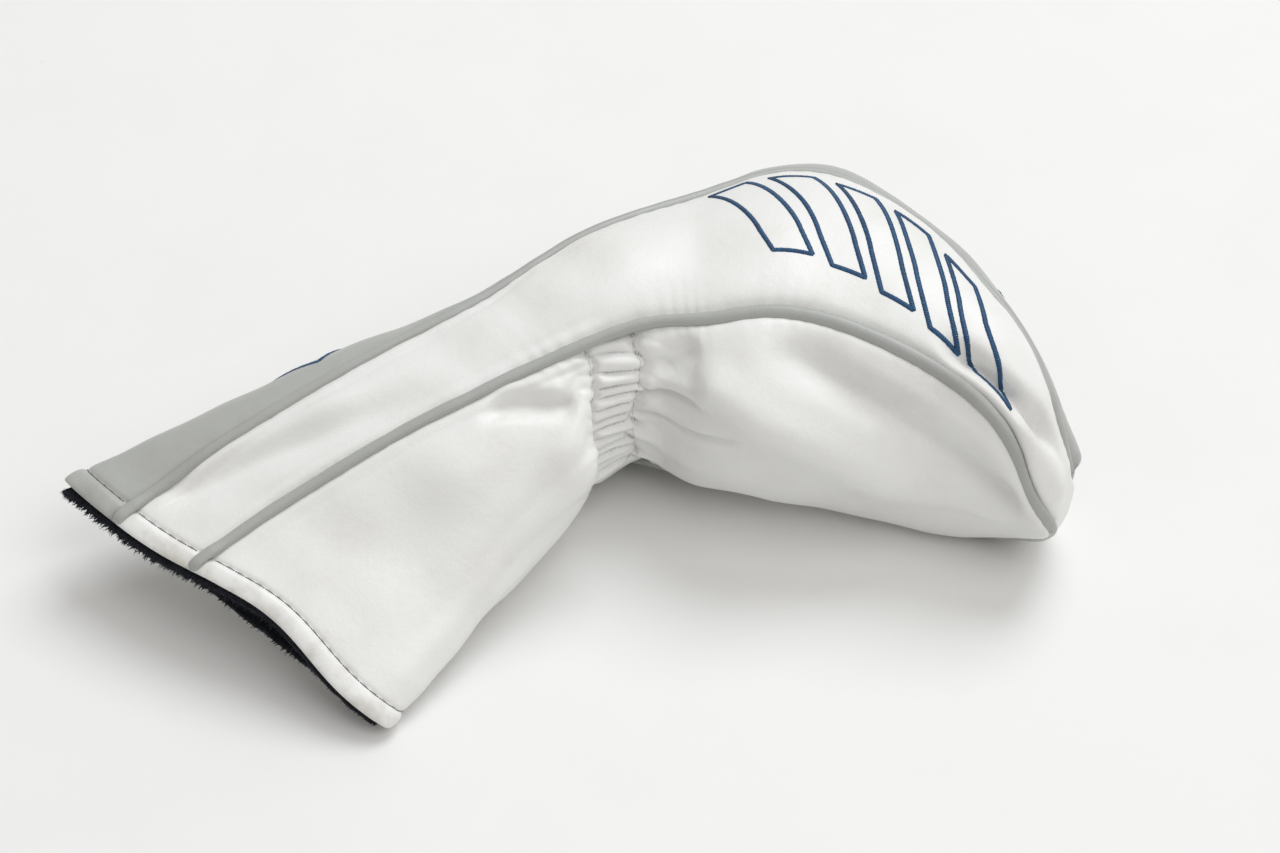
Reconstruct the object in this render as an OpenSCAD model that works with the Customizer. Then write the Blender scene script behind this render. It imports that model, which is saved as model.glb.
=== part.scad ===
// Driver head cover lying on its side: a padded hood, an elastic neck and a long soft sleeve.
// Millimetres. +X runs up the sleeve from its mouth toward the neck, the crown side faces +Y
// and +Z is up. The origin is the middle of the flat patch the hood rests on.
//
// Every panel is a sheet on one swept oval. A place on it is (r, angle): r is 0 at the mouth
// and 1 at the toe, the angle is 0 along the crown, 180 along the belly, positive on top and
// negative (or past 180) underneath. A depth d lies that far inside the outer skin.

/* [Panels] */
// Thickness of the synthetic leather
leather_t = 1.4; // [1.0:0.1:1.4]
// Thickness of the foam behind each hood panel
foam_t = 2.5; // [2.0:0.25:3.0]
// Thickness of the pile lining
pile_t = 3.0; // [2.0:0.25:3.5]
// Fullness of the hood across its thickness
hood_fullness = 1.0; // [0.95:0.01:1.05]

/* [Piping and hem] */
// Diameter of the piping along the crown and sole seams
piping_d = 4.8; // [4.0:0.1:5.0]
// Width of the turned hem at the mouth
hem_w = 8; // [6:0.5:10]
// Width of the elastic sewn inside the neck
elastic_w = 15; // [10:0.5:17]

/* [Thread] */
// Diameter of the sewing thread
thread_d = 0.7; // [0.5:0.1:0.9]
// Distance from one stitch to the next
stitch_pitch = 4; // [3.5:0.5:8]
// Width of the satin-stitched outlines
satin_w = 1.8; // [1.2:0.1:2.4]

/* [Motion] */
// How far the neck can fold past its rest shape, in degrees
fold_clearance = 5; // [2:0.5:6]

/* [Hidden] */
// One row for each station from mouth to toe: crown point, belly point, half thickness,
// angle of the crown seam, angle of the sole seam, lean of the section toward the mouth.
STATIONS = [
    [-201, 141, 32, -181, 20, 3, 9, 55, 83, 0.45],
    [-160, 128, 39, -144, 24, 10, 17, 49, 83, 0.2],
    [-118, 114, 44, -116, 27, 18, 26, 47, 88, 0],
    [-76, 100.5, 44.5, -83, 33, 26, 34, 48, 101, 0],
    [-33, 89, 44.5, -63, 28, 37, 38, 50, 122, 0],
    [8, 77, 43, -58, 10, 39, 39.5, 51, 122, 0],
    [42, 58, 44, -49, -7, 40, 42, 50, 120, 0],
    [47, 20, 42, -35, -23, 38, 42, 51, 121, 0],
    [38, -22, 39, -19, -43, 34, 40, 56, 124, 0],
    [27, -54, 37, -7, -63, 29, 35, 51, 129, 0],
    [21, -70, 37, -5, -79, 26, 29, 42, 144, 0],
];
LAST = len(STATIONS) - 1;
TANGENT_STEP = 0.001;
ROUNDNESS = 2.2;           // exponent of the oval: 2 is an ellipse, more is boxier
NOSE_START = 0.8;          // where the toe begins to round off
NOSE_LENGTH = 41;          // length of the rounded toe along its middle line
NOSE_NARROW = 0.12;        // the last row of the toe is this share narrower
SAG = 1.08;                // the side on the table is this much fuller, then pressed flat
SAG_FROM = 0.3;            // the sag grows over this stretch, from here ...
SAG_TO = 0.6;              // ... to here
WAVE = [4.5, 0, 5];        // the mouth's upper lip is pushed this far up and back
WAVE_AT = 104;             // angle where it is pushed most
WAVE_WIDTH = 24;           // degrees to each side
WAVE_RUN = 0.13;           // the wave fades out at this r
NECK = 0.33;               // where hood and sleeve meet
NECK_GAP = 0.001;          // half the gap there along the crown
NECK_SPREAD = 0.0036 * fold_clearance;  // extra half gap at the belly, so the neck can fold
RUN_MM = 400;              // millimetres of sleeve for one unit of r, on average
NECK_RUN_MM = 250;         // the same beside the neck, which is stretched less
ROWS_HOOD = 26;
ROWS_SLEEVE = 12;
CROWN_COLS = 10;
GUSSET_COLS = 6;
SOLE_COLS = 10;
LOOP_COLS = 36;
HEM_ROWS = 2;
ELASTIC_ROWS = 3;
TUBE_SIDES = 8;
THREAD_SIDES = 16;
SEAM_GAP = 1.2;            // from piping to the panel beside it
TOE_GAP = 3.0;             // this much more where the seams turn round the toe
TOE_GAP_FROM = 0.82;
PANEL_REACH = 0.91;        // crown and sole panels stop just short of the toe, at this share
FOAM_REACH = 0.88;         // of the hood, and their foam at this one
FOAM_INSET = 2.2;          // the foam stops this far short of its panel's edge
LAYER_GAP = 1.0;
BELOW_TABLE = -20;
CUTTER = 300;              // side of the block that cuts the flat patch, wider than the hood
TABLE_GAP = 0.1;           // the piping stays this far above the table
HEM_GAP = 0.001;           // from the hem to the panels, and from the elastic to the foam,
ELASTIC_GAP = 0.006;       // as shares of r
HEM_BULGE = 0.4;           // the folded edge is this much thicker on each face
HEM_STITCH_MM = 1.2;       // from the hem's upper edge to its stitching
NECK_BELLY_MM = 105;       // measured across the gathered side of the neck
ELASTIC_T = 1.0;
CROWN_HEM_MM = 84;         // length of hem on each panel
GUSSET_HEM_MM = 28;
BELLY_HEM_MM = 110;
STITCH_MARGIN = 0.03;      // share of a panel left bare at each end of a row of stitches
GATHER_DASH = 0.7;         // share of each step that is thread
HEM_DASH = 0.65;
THREAD_LIFT = 0.2;         // stitches lie this far above the skin
ZIGZAG = 0.003;            // half the swing of a zigzag row, as a share of r
SATIN_T = 0.7;
SATIN_LIFT = 0.85;
SATIN_TAPER = 0.6;         // the top of a satin line is this share of its width
BAR_STEPS = 6;             // points along each side of a bar, and of a diamond
DIAMOND_STEPS = 5;
BARS = 5;
BAR_FROM = 0.51;           // r of the first bar's upper corner
BAR_STEP = 0.057;
BAR_WIDTH = 0.036;
BAR_SLANT = 0.07;          // how much further along its lower end is
BAR_TOP = 0.16;            // where the first bar starts across the gusset
BAR_RUN = 0.54;            // how far a bar runs across it
BAR_DROP = 0.03;           // each bar sits this much lower than the one before

piping_r = piping_d / 2;
piping_depth = 0.6;        // the piping stands proud of the skin
seam_margin = piping_r + SEAM_GAP;
hem_start = 0.006;
hem_end = hem_start + hem_w / RUN_MM;
panel_start = hem_end + HEM_GAP;
foam_in = leather_t + LAYER_GAP;
foam_out = foam_in + foam_t;
hood_lining_in = foam_out + LAYER_GAP;
sleeve_lining_in = piping_depth + piping_r + LAYER_GAP;
elastic_start = 0.004;
elastic_run = elastic_w / NECK_RUN_MM;
foam_start = elastic_start + elastic_run + ELASTIC_GAP;
thread_depth = -thread_d / 2 - THREAD_LIFT;

leather_white = [0.93, 0.93, 0.92];
leather_grey = [0.70, 0.71, 0.69];
thread_grey = [0.45, 0.46, 0.46];
thread_blue = [0.13, 0.33, 0.55];
foam_colour = [0.85, 0.83, 0.74];
pile_colour = [0.05, 0.06, 0.10];
elastic_colour = [0.88, 0.88, 0.86];

// ---- the swept oval ----

function unit(v) = v / norm(v);
function mix(a, b, f) = a + (b - a) * f;
function clamp01(x) = max(0, min(1, x));
function signed_pow(x, p) = sign(x) * pow(abs(x), p);
function smooth(x) = pow(clamp01(x), 2) * (3 - 2 * clamp01(x));

function station_row(i) =
    i < 0 ? 2 * STATIONS[0] - STATIONS[1] :
    i > LAST ? 2 * STATIONS[LAST] - STATIONS[LAST - 1] :
    STATIONS[i];

// A smooth curve through the station rows
function station(s) =
    let (place = clamp01(s) * LAST,
         i = min(floor(place), LAST - 1),
         f = place - i,
         a = station_row(i - 1),
         b = station_row(i),
         c = station_row(i + 1),
         d = station_row(i + 2))
    0.5 * (2 * b + (c - a) * f + (2 * a - 5 * b + 4 * c - d) * f * f
        + (3 * b - a - 3 * c + d) * f * f * f);

function crown_point(v) = [v[0], v[1], v[2]];
function belly_point(v) = [v[3], v[4], v[5]];
function middle(v) = (crown_point(v) + belly_point(v)) / 2;

function nose_turn(r) = max(0, (r - NOSE_START) / (1 - NOSE_START)) * 90;
function station_place(r, d) =
    r <= NOSE_START ? r :
    min(1, NOSE_START + (1 - NOSE_START) * sin(nose_turn(r)) * (1 - d / NOSE_LENGTH));

// The oval at r and depth d: [middle, toward the crown, upward, half width, half height,
// half height underneath, push of the mouth's wave]
function section(r, d) =
    let (s = station_place(r, d),
         v = station(s),
         along = unit(middle(station(s + TANGENT_STEP)) - middle(station(s - TANGENT_STEP))),
         chord = crown_point(v) - belly_point(v),
         across = unit(chord),
         up = unit(cross(along, across)) - v[9] * along,
         fullness = mix(1, hood_fullness, clamp01((s - SAG_FROM) / (SAG_TO - SAG_FROM))),
         sag = mix(1, SAG, clamp01((s - SAG_FROM) / (SAG_TO - SAG_FROM))),
         half_width = norm(chord) / 2 * mix(1, cos(nose_turn(r)), NOSE_NARROW) - d,
         half_height = (v[6] * fullness - d) * cos(nose_turn(r)))
    [middle(v), across, up, half_width, half_height, half_height * sag, WAVE * smooth(1 - r / WAVE_RUN)];

function on_section(sec, angle) =
    sec[0] + sec[1] * sec[3] * signed_pow(cos(angle), 2 / ROUNDNESS)
    + sec[2] * (sin(angle) < 0 ? sec[5] : sec[4]) * signed_pow(sin(angle), 2 / ROUNDNESS)
    + sec[6] * exp(-pow((angle - WAVE_AT) / WAVE_WIDTH, 2));

function above_table(p, least) = [p[0], p[1], max(p[2], least)];

function skin(r, angle, d, least = undef) =
    above_table(on_section(section(r, d), angle), is_undef(least) ? max(d, 0) : least);

function crown_seam(r) = station(station_place(r, 0))[7];
function sole_seam(r) = station(station_place(r, 0))[8];

// Degrees of angle that measure mm millimetres on the skin
function degrees_for(r, angle, mm) =
    let (sec = section(r, 0))
    mm * 2 / norm(on_section(sec, angle + 1) - on_section(sec, angle - 1));

// From a seam to the edge of the panel beside it, or of the foam behind that, in degrees
function edge_degrees(r, seam, d) =
    degrees_for(r, seam, seam_margin + (d > leather_t ? FOAM_INSET : 0)
        + TOE_GAP * clamp01((r - TOE_GAP_FROM) / (1 - TOE_GAP_FROM)));

// ---- columns and rows of each sheet ----

// Angle of a place f (0 to 1) across a panel, kept clear of the piping
function crown_angle(r, f, d) =
    let (edge = crown_seam(r) - edge_degrees(r, crown_seam(r), d))
    mix(-edge, edge, f);
function gusset_angle(r, f, d) =
    let (top = crown_seam(r), bottom = sole_seam(r))
    mix(top + edge_degrees(r, top, d), bottom - edge_degrees(r, bottom, d), f);
function sole_angle(r, f, d) =
    let (edge = sole_seam(r) + edge_degrees(r, sole_seam(r), d))
    mix(edge, 360 - edge, f);
// All the way round, with columns on every seam
function loop_angle(r, f) =
    let (a = crown_seam(r),
         b = sole_seam(r),
         stops = [[0, 0], [1, a], [2, b], [3, 180], [4, 360 - b], [5, 360 - a], [6, 360]])
    lookup(6 * f, stops);

CROWN = 0;
GUSSET_TOP = 1;
GUSSET_UNDER = 2;
SOLE = 3;
LOOP = 4;

function sheet_angle(kind, r, f, d) =
    kind == CROWN ? crown_angle(r, f, d) :
    kind == GUSSET_TOP ? gusset_angle(r, f, d) :
    kind == GUSSET_UNDER ? -gusset_angle(r, 1 - f, d) :
    kind == SOLE ? sole_angle(r, f, d) :
    loop_angle(r, f);

// Half the gap at the neck: a wedge that opens from crown to belly
function neck_gap(angle) = NECK_GAP + NECK_SPREAD * (1 - cos(angle)) / 2;

// r of a place g (0 to 1) along the hood or the sleeve
function hood_r(g, angle, start) = mix(NECK + neck_gap(angle) + start, 1, g);
function sleeve_r(g, angle, start) = mix(start, NECK - neck_gap(angle), g);
function body_r(in_hood, g, angle, start) =
    in_hood ? hood_r(g, angle, start) : sleeve_r(g, angle, start);

// The angle depends on r and the wedge depends on the angle, so it is settled in two steps
function sheet_point(in_hood, kind, g, f, start, d, least = undef) =
    let (first = body_r(in_hood, g, 90, start),
         guess = body_r(in_hood, g, sheet_angle(kind, first, f, d), start),
         angle = sheet_angle(kind, guess, f, d))
    skin(body_r(in_hood, g, angle, start), angle, d, least);

function sheet_grid(in_hood, kind, from, to, rows, cols, start, d, least = undef) =
    [for (i = [0 : rows]) [for (j = [0 : cols])
        sheet_point(in_hood, kind, mix(from, to, i / rows), j / cols, start, d, least)]];

// ---- solids ----

function joined(lists) = [for (l = lists) for (x = l) x];

function quad(a, b, c, d) = [[a, b, c], [a, c, d]];

// A solid between an outer and an inner grid of points. The last row may be left open where
// both grids fold onto themselves at the toe; the columns may close into a ring.
module sheet(outer, inner, toe = false, ring = false) {
    rows = len(outer);
    cols = len(outer[0]) - (ring ? 1 : 0);
    shift = rows * cols;
    spans = ring ? cols : cols - 1;
    points = joined([for (grid = [outer, inner]) for (row = grid)
        [for (j = [0 : cols - 1]) row[j]]]);
    skins = joined([for (i = [0 : rows - 2]) for (j = [0 : spans - 1])
        let (a = i * cols + j,
             b = a + cols,
             c = (i + 1) * cols + (j + 1) % cols,
             d = i * cols + (j + 1) % cols)
        concat(quad(a, b, c, d), quad(shift + a, shift + d, shift + c, shift + b))]);
    ends = joined([for (i = toe ? [0] : [0, rows - 1]) for (j = [0 : spans - 1])
        let (a = i * cols + j,
             b = i * cols + (j + 1) % cols)
        i == 0 ? quad(a, b, shift + b, shift + a) : quad(b, a, shift + a, shift + b)]);
    edges = ring ? [] : joined([for (j = [0, cols - 1]) for (i = [0 : rows - 2])
        let (a = i * cols + j,
             b = a + cols)
        j == 0 ? quad(b, a, shift + a, shift + b) : quad(a, b, shift + b, shift + a)]);
    polyhedron(points, concat(skins, ends, edges));
}

// reach is the share of the hood that the sheet covers; at 1 it is closed round the toe
module hood_sheet(kind, cols, d_out, d_in, start = 0, reach = 1) {
    sheet(
        sheet_grid(true, kind, 0, reach, ROWS_HOOD, cols, start, d_out),
        sheet_grid(true, kind, 0, reach, ROWS_HOOD, cols, start, d_in),
        toe = reach == 1, ring = kind == LOOP);
}

module sleeve_sheet(kind, cols, d_out, d_in, start) {
    sheet(
        sheet_grid(false, kind, 0, 1, ROWS_SLEEVE, cols, start, d_out),
        sheet_grid(false, kind, 0, 1, ROWS_SLEEVE, cols, start, d_in),
        ring = kind == LOOP);
}

// The gusset of the hood runs from the neck over the top, around the toe and back underneath
function gusset_grid(start, d, least = undef) =
    concat(
        sheet_grid(true, GUSSET_TOP, 0, 1, ROWS_HOOD, GUSSET_COLS, start, d, least),
        [for (i = [1 : ROWS_HOOD]) [for (j = [0 : GUSSET_COLS])
            sheet_point(true, GUSSET_UNDER, 1 - i / ROWS_HOOD, 1 - j / GUSSET_COLS, start, d, least)]]);

// The folded edge of one sleeve panel at the mouth
module hem(kind, cols) {
    share = hem_w / RUN_MM / (NECK - hem_start);
    sheet(
        sheet_grid(false, kind, 0, share, HEM_ROWS, cols, hem_start, -HEM_BULGE),
        sheet_grid(false, kind, 0, share, HEM_ROWS, cols, hem_start, leather_t + HEM_BULGE));
}

// A round tube along a list of [centre, outward] pairs
module tube(path, radius) {
    last = len(path) - 1;
    rings = [for (i = [0 : last])
        let (centre = path[i][0],
             along = unit(path[min(i + 1, last)][0] - path[max(i - 1, 0)][0]),
             outward = path[i][1] - along * (path[i][1] * along),
             side = unit(cross(along, outward)))
        for (k = [0 : TUBE_SIDES - 1])
            centre + radius * (cos(360 * k / TUBE_SIDES) * unit(outward)
                + sin(360 * k / TUBE_SIDES) * side)];
    walls = joined([for (i = [0 : last - 1]) for (k = [0 : TUBE_SIDES - 1])
        let (a = i * TUBE_SIDES + k,
             b = i * TUBE_SIDES + (k + 1) % TUBE_SIDES)
        quad(a, b, b + TUBE_SIDES, a + TUBE_SIDES)]);
    first_cap = [for (k = [TUBE_SIDES - 1 : -1 : 0]) k];
    last_cap = [for (k = [0 : TUBE_SIDES - 1]) last * TUBE_SIDES + k];
    polyhedron(rings, concat(walls, [first_cap, last_cap]));
}

// A point on a seam, with its outward direction
function seam_point(in_hood, crown, under, g, start) =
    let (first = body_r(in_hood, g, crown ? crown_seam(NECK) : sole_seam(NECK), start),
         r = body_r(in_hood, g, crown ? crown_seam(first) : sole_seam(first), start),
         angle = (under ? -1 : 1) * (crown ? crown_seam(r) : sole_seam(r)),
         centre = on_section(section(r, piping_depth), angle),
         outward = on_section(section(r, -1), angle) - on_section(section(r, 0), angle))
    [above_table(centre, piping_r + TABLE_GAP), outward];

module hood_piping(crown) {
    top = [for (i = [0 : ROWS_HOOD]) seam_point(true, crown, false, i / ROWS_HOOD, 0)];
    under = [for (i = [ROWS_HOOD - 1 : -1 : 0]) seam_point(true, crown, true, i / ROWS_HOOD, 0)];
    tube(concat(top, under), piping_r);
}

module sleeve_piping(crown, under) {
    tube([for (i = [0 : ROWS_SLEEVE]) seam_point(false, crown, under, i / ROWS_SLEEVE, hem_start)],
        piping_r);
}

module thread(from, to) {
    run = to - from;
    translate(from)
        rotate([0, acos(run[2] / norm(run)), atan2(run[1], run[0])])
            cylinder(h = norm(run), d = thread_d, $fn = THREAD_SIDES);
}

// Dashes along a path of [r, angle] pairs; each takes the given share of its step. Where the
// cover presses on the table the thread is sunk in the seam and is left out.
module stitches(path, share, d) {
    for (i = [0 : len(path) - 2]) {
        from = skin(path[i][0], path[i][1], d, BELOW_TABLE);
        to = skin(path[i + 1][0], path[i + 1][1], d, BELOW_TABLE);
        if (min(from[2], to[2]) > thread_d)
            thread(from, mix(from, to, share));
    }
}

// A flat satin-stitched outline through [r, angle] corners, closed on itself
module satin(corners, per_side) {
    count = len(corners) * per_side;
    path = [for (c = [0 : len(corners) - 1]) for (i = [0 : per_side - 1])
        mix(corners[c], corners[(c + 1) % len(corners)], i / per_side)];
    rings = [for (i = [0 : count - 1])
        let (before = path[(i + count - 1) % count],
             after = path[(i + 1) % count],
             base = skin(path[i][0], path[i][1], -SATIN_LIFT),
             top = skin(path[i][0], path[i][1], -SATIN_LIFT - SATIN_T),
             run = unit(skin(after[0], after[1], 0) - skin(before[0], before[1], 0)),
             side = unit(cross(run, top - base)) * satin_w / 2)
        for (p = [base - side, base + side, top + side * SATIN_TAPER, top - side * SATIN_TAPER]) p];
    walls = joined([for (i = [0 : count - 1]) for (k = [0 : 3])
        let (a = i * 4 + k,
             b = i * 4 + (k + 1) % 4,
             next = 4 * ((i + 1) % count) - 4 * i)
        quad(a, b, b + next, a + next)]);
    polyhedron(rings, walls);
}

function gusset_place(r, f) = [r, mix(crown_seam(r), sole_seam(r), f)];

// ---- hood ----

module crown_panel_hood() {
    color(leather_grey)
        hood_sheet(CROWN, CROWN_COLS, 0, leather_t, 0, PANEL_REACH);
}

// The outer face is left to run through the table and then cut, so the patch is truly flat
module gusset_hood() {
    color(leather_white)
        difference() {
            sheet(gusset_grid(0, 0, BELOW_TABLE), gusset_grid(0, leather_t));
            translate([-CUTTER / 2, -CUTTER / 2, BELOW_TABLE])
                cube([CUTTER, CUTTER, -BELOW_TABLE]);
        }
}

module sole_panel_hood() {
    color(leather_white)
        hood_sheet(SOLE, SOLE_COLS, 0, leather_t, 0, PANEL_REACH);
}

module crown_piping_hood() {
    color(leather_grey)
        hood_piping(true);
}

module sole_piping_hood() {
    color(leather_grey)
        hood_piping(false);
}

module crown_foam() {
    color(foam_colour)
        hood_sheet(CROWN, CROWN_COLS, foam_in, foam_out, foam_start, FOAM_REACH);
}

module gusset_foam() {
    color(foam_colour)
        sheet(
            gusset_grid(foam_start, foam_in, foam_in + LAYER_GAP),
            gusset_grid(foam_start, foam_out, foam_out));
}

module sole_foam() {
    color(foam_colour)
        hood_sheet(SOLE, SOLE_COLS, foam_in, foam_out, foam_start, FOAM_REACH);
}

module hood_lining() {
    color(pile_colour)
        hood_sheet(LOOP, LOOP_COLS, hood_lining_in, hood_lining_in + pile_t);
}

module neck_elastic() {
    share = elastic_run / (1 - NECK);
    color(elastic_colour)
        sheet(
            sheet_grid(true, SOLE, 0, share, ELASTIC_ROWS, SOLE_COLS, elastic_start, foam_in),
            sheet_grid(true, SOLE, 0, share, ELASTIC_ROWS, SOLE_COLS, elastic_start,
                foam_in + ELASTIC_T));
}

// A place f (0 to 1) along a row of stitches, as a share of its panel
function row_share(f) = mix(STITCH_MARGIN, 1 - STITCH_MARGIN, f);

// One zigzag row of thread across the belly of the neck
module gather_row(start) {
    steps = floor(NECK_BELLY_MM / stitch_pitch) * 2;
    path = [for (i = [0 : steps])
        let (guess = hood_r(0, 180, start),
             angle = sole_angle(guess, row_share(i / steps), 0))
        [NECK + neck_gap(angle) + start + (i % 2 == 0 ? -ZIGZAG : ZIGZAG), angle]];
    color(elastic_colour)
        stitches(path, GATHER_DASH, thread_depth);
}

module gather_stitches_front() {
    gather_row(elastic_start + ZIGZAG);
}

module gather_stitches_back() {
    gather_row(elastic_start + elastic_run - ZIGZAG);
}

// Slanted outlined bars, one beside the other
module emblem_bars() {
    color(thread_blue)
        for (i = [0 : BARS - 1]) {
            r = BAR_FROM + i * BAR_STEP;
            top = BAR_TOP + i * BAR_DROP;
            bottom = top + BAR_RUN;
            satin([
                gusset_place(r, top),
                gusset_place(r + BAR_WIDTH, top),
                gusset_place(r + BAR_WIDTH + BAR_SLANT, bottom),
                gusset_place(r + BAR_SLANT, bottom)], BAR_STEPS);
        }
}

module diamond_on_crown(r, half_run, half_angle) {
    color(thread_blue)
        satin([[r - half_run, 0], [r, half_angle], [r + half_run, 0], [r, -half_angle]],
            DIAMOND_STEPS);
}

module emblem_crown_hood() {
    diamond_on_crown(r = 0.79, half_run = 0.05, half_angle = 34);
}

// ---- sleeve ----

module crown_panel_sleeve() {
    color(leather_grey)
        sleeve_sheet(CROWN, CROWN_COLS, 0, leather_t, panel_start);
}

module gusset_sleeve_top() {
    color(leather_white)
        sleeve_sheet(GUSSET_TOP, GUSSET_COLS, 0, leather_t, panel_start);
}

module gusset_sleeve_under() {
    color(leather_white)
        sleeve_sheet(GUSSET_UNDER, GUSSET_COLS, 0, leather_t, panel_start);
}

module belly_panel_sleeve() {
    color(leather_white)
        sleeve_sheet(SOLE, SOLE_COLS, 0, leather_t, panel_start);
}

module crown_piping_sleeve_top() {
    color(leather_grey)
        sleeve_piping(true, false);
}

module crown_piping_sleeve_under() {
    color(leather_grey)
        sleeve_piping(true, true);
}

module sole_piping_sleeve_top() {
    color(leather_grey)
        sleeve_piping(false, false);
}

module sole_piping_sleeve_under() {
    color(leather_grey)
        sleeve_piping(false, true);
}

module sleeve_lining() {
    color(pile_colour)
        sleeve_sheet(LOOP, LOOP_COLS, sleeve_lining_in, sleeve_lining_in + pile_t, 0);
}

module hem_crown() {
    color(leather_grey)
        hem(CROWN, CROWN_COLS);
}

module hem_gusset_top() {
    color(leather_white)
        hem(GUSSET_TOP, GUSSET_COLS);
}

module hem_gusset_under() {
    color(leather_white)
        hem(GUSSET_UNDER, GUSSET_COLS);
}

module hem_belly() {
    color(leather_white)
        hem(SOLE, SOLE_COLS);
}

// A run of stitches across each panel, stopping short of the piping
module hem_stitches() {
    r = hem_end - HEM_STITCH_MM / RUN_MM;
    color(thread_grey)
        for (panel = [[CROWN, CROWN_HEM_MM], [GUSSET_TOP, GUSSET_HEM_MM], [SOLE, BELLY_HEM_MM],
                      [GUSSET_UNDER, GUSSET_HEM_MM]]) {
            steps = floor(panel[1] / stitch_pitch);
            path = [for (i = [0 : steps]) [r, sheet_angle(panel[0], r, row_share(i / steps), 0)]];
            stitches(path, HEM_DASH, thread_depth - HEM_BULGE);
        }
}

module emblem_crown_sleeve() {
    diamond_on_crown(r = 0.19, half_run = 0.035, half_angle = 26);
}

crown_panel_hood();
gusset_hood();
sole_panel_hood();
crown_piping_hood();
sole_piping_hood();
crown_foam();
gusset_foam();
sole_foam();
hood_lining();
neck_elastic();
gather_stitches_front();
gather_stitches_back();
emblem_bars();
emblem_crown_hood();
crown_panel_sleeve();
gusset_sleeve_top();
gusset_sleeve_under();
belly_panel_sleeve();
crown_piping_sleeve_top();
crown_piping_sleeve_under();
sole_piping_sleeve_top();
sole_piping_sleeve_under();
sleeve_lining();
hem_crown();
hem_gusset_top();
hem_gusset_under();
hem_belly();
hem_stitches();
emblem_crown_sleeve();
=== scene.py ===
"""The looks of a driver head cover lying on its side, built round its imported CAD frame.

Lengths in this file are millimetres until a mesh is made; Blender gets metres.
"""

import math

import bmesh
import bpy
import numpy as np
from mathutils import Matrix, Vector


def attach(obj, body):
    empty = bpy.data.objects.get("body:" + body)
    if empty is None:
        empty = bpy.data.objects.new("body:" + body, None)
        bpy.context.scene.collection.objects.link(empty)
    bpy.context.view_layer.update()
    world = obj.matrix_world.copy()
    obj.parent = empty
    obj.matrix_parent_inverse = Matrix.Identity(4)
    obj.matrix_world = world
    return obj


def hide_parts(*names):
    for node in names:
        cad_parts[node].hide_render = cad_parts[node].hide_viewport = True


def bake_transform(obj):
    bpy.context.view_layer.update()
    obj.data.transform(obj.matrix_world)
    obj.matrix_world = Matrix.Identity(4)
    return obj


MM = 0.001
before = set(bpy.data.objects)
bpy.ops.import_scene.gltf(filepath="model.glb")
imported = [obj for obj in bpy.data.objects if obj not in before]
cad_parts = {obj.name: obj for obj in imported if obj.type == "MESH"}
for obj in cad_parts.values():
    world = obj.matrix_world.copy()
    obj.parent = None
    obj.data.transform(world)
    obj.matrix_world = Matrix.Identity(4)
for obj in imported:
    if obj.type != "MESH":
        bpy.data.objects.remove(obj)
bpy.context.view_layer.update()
rng = np.random.default_rng(11)

# ---- the swept oval, as in the CAD except for its narrower toe ----

# Crown point, belly point, half thickness, angles of the crown and sole seams, lean
STATIONS = np.array([
    [-201, 141, 32, -181, 20, 3, 9, 55, 83, 0.45],
    [-160, 128, 39, -144, 24, 10, 17, 49, 83, 0.2],
    [-118, 114, 44, -116, 27, 18, 26, 47, 88, 0],
    [-76, 100.5, 44.5, -83, 33, 26, 34, 48, 101, 0],
    [-33, 89, 44.5, -63, 28, 37, 38, 50, 122, 0],
    [8, 77, 43, -58, 10, 39, 39.5, 51, 122, 0],
    [42, 58, 44, -49, -7, 40, 42, 50, 120, 0],
    [47, 20, 42, -35, -23, 38, 42, 51, 121, 0],
    [38, -22, 39, -19, -43, 34, 40, 56, 124, 0],
    [27, -54, 37, -7, -63, 29, 35, 51, 129, 0],
    [21, -70, 37, -5, -79, 26, 29, 42, 144, 0],
], float)
ENDED = np.vstack([2 * STATIONS[0] - STATIONS[1], STATIONS, 2 * STATIONS[-1] - STATIONS[-2]])
LAST = len(STATIONS) - 1
ROUNDNESS = 2.2
NOSE_START = 0.8         # where the toe begins to close
NOSE_LENGTH = 41
NOSE_NARROW = 0.22       # the toe's last row is this share narrower
SAG = 1.08               # the underside of the hood is this much deeper
SAG_FROM = 0.3
SAG_TO = 0.6
RUN_MM = 400             # millimetres of cover for one unit of r, on average
# The mouth's upper lip waves: it is pushed along WAVE where its angle is near WAVE_AT
WAVE = np.array([4.5, 0, 5])
WAVE_AT = 104
WAVE_WIDTH = 24
WAVE_RUN = 0.13
SLOPE_STEP = 0.001       # how far to each side the sweep's direction is measured, as a share


def station(s):
    """Rows of the station table at places s, on a Catmull-Rom curve through them."""
    place = np.clip(s, 0, 1) * LAST
    i = np.minimum(place.astype(int), LAST - 1)
    f = (place - i)[..., None]
    a, b, c, d = ENDED[i], ENDED[i + 1], ENDED[i + 2], ENDED[i + 3]
    return 0.5 * (2 * b + (c - a) * f + (2 * a - 5 * b + 4 * c - d) * f ** 2
                  + (3 * b - a - 3 * c + d) * f ** 3)


def unit(v):
    return v / np.maximum(np.linalg.norm(v, axis=-1, keepdims=True), 1e-9)


def signed_pow(x, p):
    return np.sign(x) * np.abs(x) ** p


def smooth(x):
    """0 below 0, 1 above 1, with a soft start and end."""
    x = np.clip(x, 0, 1)
    return x * x * (3 - 2 * x)


def hump(x):
    """1 at 0, falling softly to nothing about 2 to each side."""
    return np.exp(-x * x)


def nose_turn(r):
    """Angle on the quarter round that closes the toe."""
    return np.clip((r - NOSE_START) / (1 - NOSE_START), 0, 1) * np.pi / 2


def station_place(r, depth):
    """Where on the sweep a value of r lies: even at first, then easing into the toe."""
    rounded = NOSE_START + (1 - NOSE_START) * np.sin(nose_turn(r)) * (1 - depth / NOSE_LENGTH)
    return np.where(r <= NOSE_START, r, np.minimum(rounded, 1))


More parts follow.
